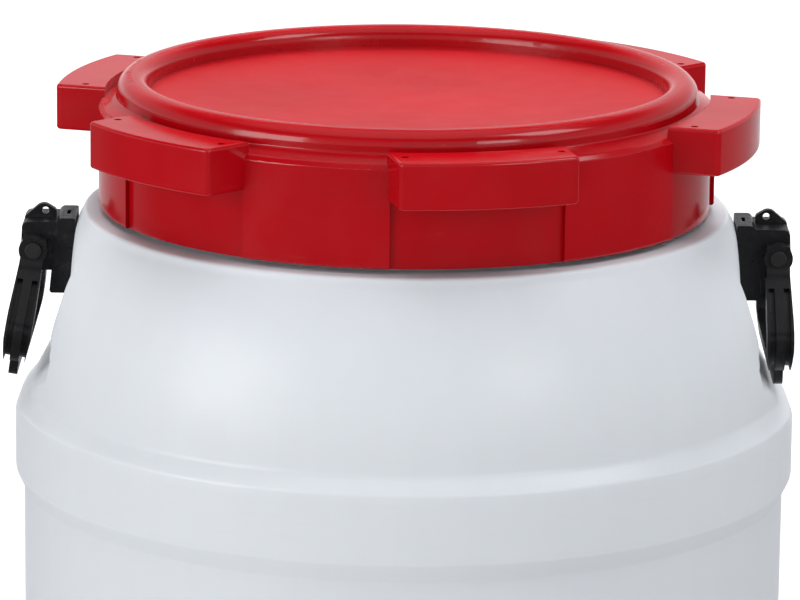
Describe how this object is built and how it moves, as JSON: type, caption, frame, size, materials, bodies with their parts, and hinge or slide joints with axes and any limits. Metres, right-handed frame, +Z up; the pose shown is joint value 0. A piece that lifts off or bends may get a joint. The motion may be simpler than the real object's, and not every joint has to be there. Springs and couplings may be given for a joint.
{
  "type": "wide-neck plastic drum",
  "caption": "Wide-neck plastic drum with a domed shoulder, a screw lid with grip lugs, a lid gasket and a swing handle in a recess on each side.",
  "frame": {"origin": "centre of the base, on the surface the drum stands on", "axes": "+Z up along the drum's axis, handles at +X and -X, the pictured side faces -Y"},
  "size_m": [0.4037, 0.4, 0.6206],
  "materials": {
    "drum_plastic": "milky white polyethylene with a soft satin sheen",
    "lid_plastic": "glossy moulded red polypropylene",
    "gasket_rubber": "soft black rubber",
    "handle_plastic": "semi-gloss moulded black nylon",
    "pin_plastic": "black nylon",
    "screw_steel": "zinc-plated steel"
  },
  "bodies": {
    "root": {"drum_body": "drum_plastic", "right_handle_plate": "handle_plastic", "right_hinge_block": "handle_plastic", "right_hinge_pin": "pin_plastic", "right_handle_screws": "screw_steel", "left_handle_plate": "handle_plastic", "left_hinge_block": "handle_plastic", "left_hinge_pin": "pin_plastic", "left_handle_screws": "screw_steel"},
    "gasket": {"lid_gasket": "gasket_rubber"},
    "lid": {"lid": "lid_plastic"},
    "right_bail": {"right_bail": "handle_plastic"},
    "left_bail": {"left_bail": "handle_plastic"}
  },
  "joints": [
    {"name": "lid_lift", "type": "slide", "parent": "root", "child": "gasket", "axis": [0, 0, 1], "range_m": [0, 0.063]},
    {"name": "lid_turn", "type": "hinge", "parent": "gasket", "child": "lid", "pos_m": [0, 0, 0.58], "axis": [0, 0, 1], "range_deg": [0, 1620]},
    {"name": "right_bail_swing", "type": "hinge", "parent": "root", "child": "right_bail", "pos_m": [0.1895, 0, 0.532], "axis": [0, -1, 0], "range_deg": [-0.9, 164.1]},
    {"name": "left_bail_swing", "type": "hinge", "parent": "root", "child": "left_bail", "pos_m": [-0.1895, 0, 0.532], "axis": [0, 1, 0], "range_deg": [-9.3, 155.7]}
  ],
  "couplings": [
    {"joint": "lid_lift", "follows": "lid_turn", "m_per_rad": 0.0022282}
  ]
}
